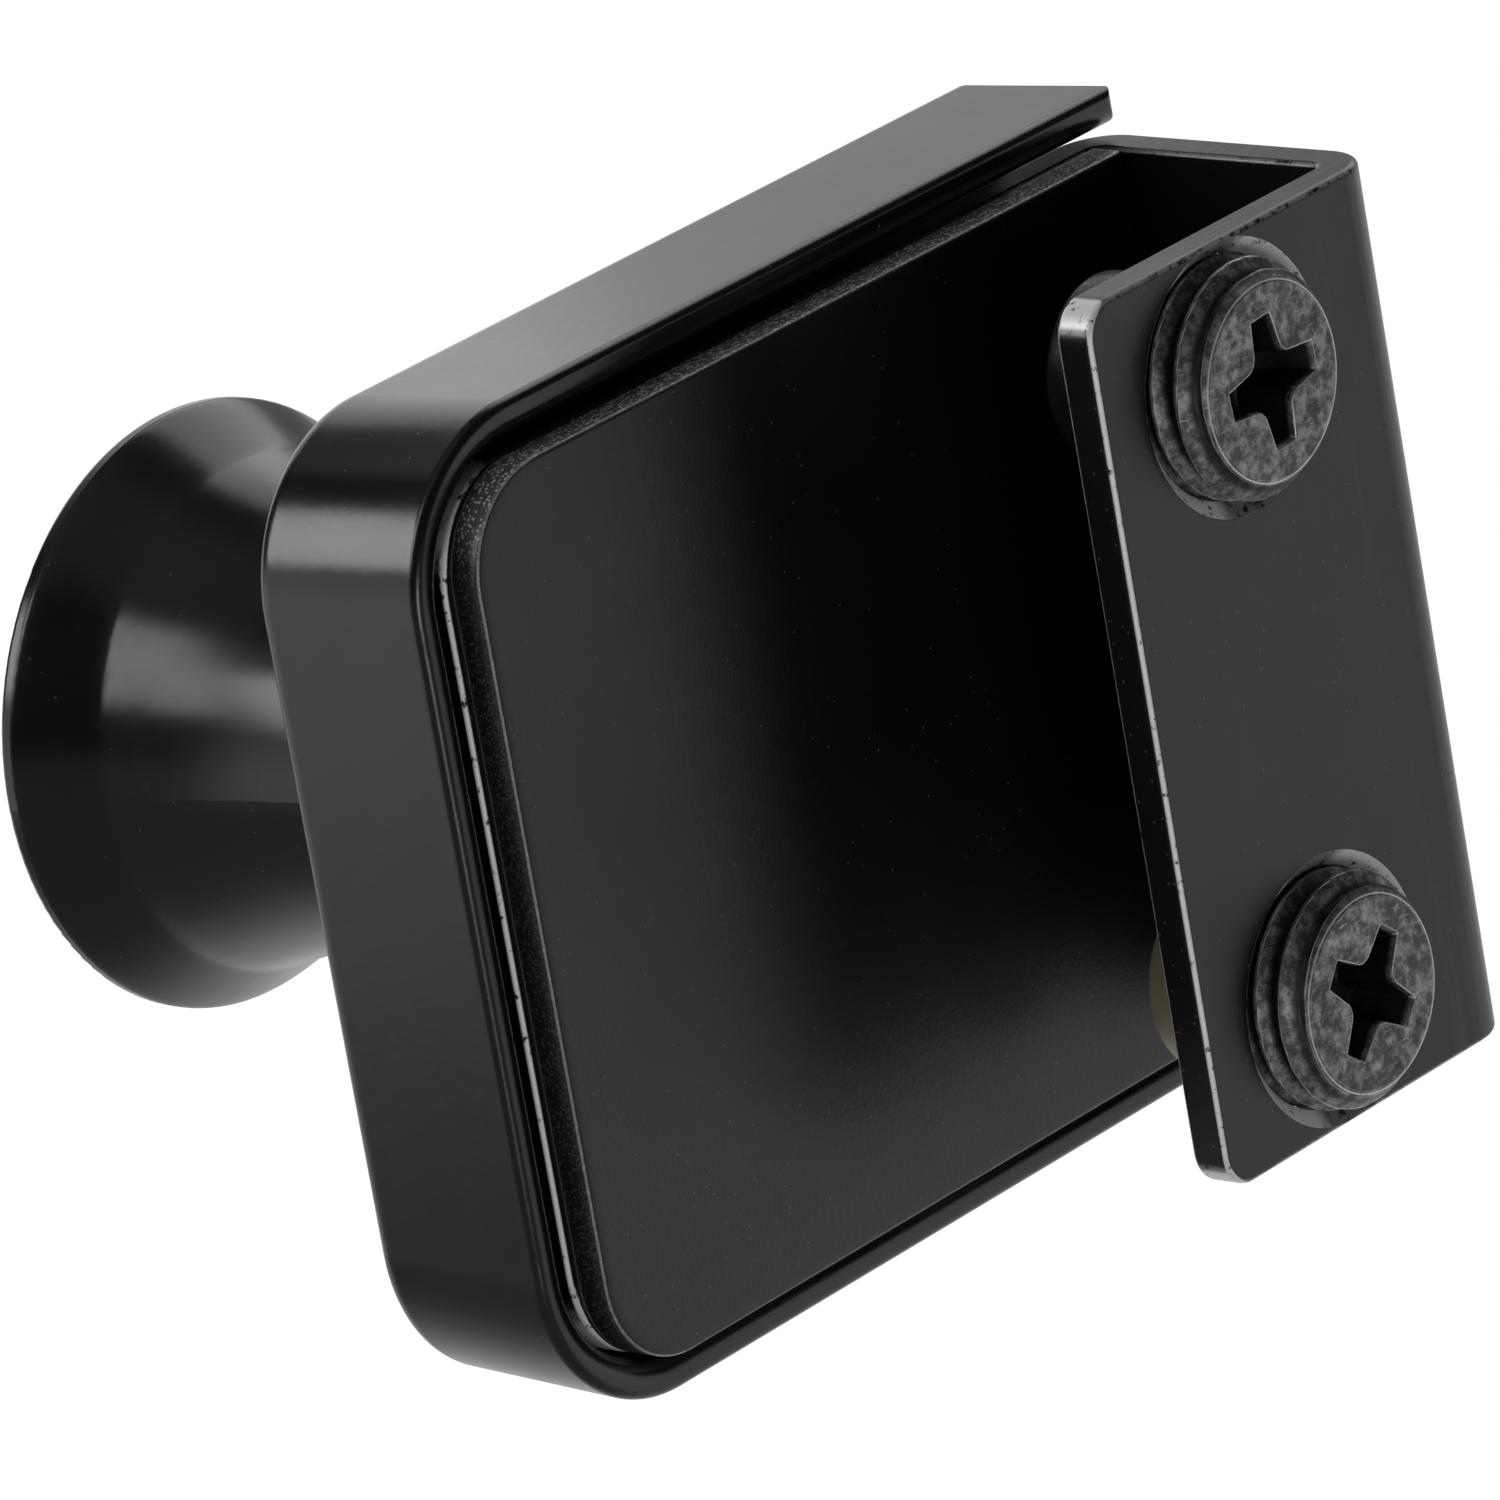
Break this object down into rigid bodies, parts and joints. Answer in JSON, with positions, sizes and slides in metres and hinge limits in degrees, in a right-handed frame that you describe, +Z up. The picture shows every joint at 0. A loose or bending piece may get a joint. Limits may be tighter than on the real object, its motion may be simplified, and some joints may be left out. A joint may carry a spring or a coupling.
{
  "type": "clamp-on glass door knob",
  "caption": "Spool knob on a shallow tray, with a bent steel channel, a rubber pad and clamp screws that grip the edge of a frameless glass door.",
  "frame": {"origin": "where the knob's axis meets the glass-side face of the rubber pad", "axes": "+Y through the glass, away from the knob; +Z up; +X away from the edge of the glass, towards the rounded end of the tray"},
  "size_m": [0.0372, 0.0395, 0.034],
  "materials": {
    "black_knob_finish": "gloss black over cast metal",
    "black_tray_finish": "satin black over cast metal",
    "black_sheet_steel": "semi-gloss black plating, worn on the cut edges",
    "black_rubber": "matte, with a speckled cut edge",
    "black_adhesive": "thin black double-sided film",
    "pale_adhesive": "thin pale double-sided film",
    "zinc_plated_steel": "zinc plated",
    "blackened_screw_steel": "blackened steel, scuffed",
    "cream_nylon": "natural nylon"
  },
  "bodies": {
    "clamp_body": {"knob": "black_knob_finish", "knob_screw": "zinc_plated_steel", "knob_washer": "zinc_plated_steel", "tray": "black_tray_finish", "clamp_channel": "black_sheet_steel", "upper_flange_screw": "zinc_plated_steel", "lower_flange_screw": "zinc_plated_steel", "pad_adhesive": "black_adhesive", "glass_pad": "black_rubber"},
    "upper_tip": {"upper_pressure_cup": "cream_nylon", "upper_disc_adhesive": "black_adhesive", "upper_grip_disc": "black_rubber"},
    "upper_screw": {"upper_clamp_screw": "blackened_screw_steel"},
    "lower_tip": {"lower_pressure_cup": "cream_nylon", "lower_disc_adhesive": "pale_adhesive", "lower_grip_disc": "cream_nylon"},
    "lower_screw": {"lower_clamp_screw": "blackened_screw_steel"}
  },
  "joints": [
    {"name": "upper_screw_advance", "type": "slide", "parent": "clamp_body", "child": "upper_tip", "axis": [0, 1, 0], "range_m": [-0.001, 0.001]},
    {"name": "upper_screw_turn", "type": "hinge", "parent": "upper_tip", "child": "upper_screw", "pos_m": [-0.01095, 0.00905, 0.01065], "axis": [0, 1, 0], "range_deg": [-360, 360]},
    {"name": "lower_screw_advance", "type": "slide", "parent": "clamp_body", "child": "lower_tip", "axis": [0, 1, 0], "range_m": [-0.001, 0.001]},
    {"name": "lower_screw_turn", "type": "hinge", "parent": "lower_tip", "child": "lower_screw", "pos_m": [-0.01095, 0.00905, -0.01065], "axis": [0, 1, 0], "range_deg": [-360, 360]}
  ],
  "couplings": [
    {"joint": "upper_screw_turn", "follows": "upper_screw_advance", "rad_per_m": 6283.2},
    {"joint": "lower_screw_turn", "follows": "lower_screw_advance", "rad_per_m": 6283.2}
  ]
}
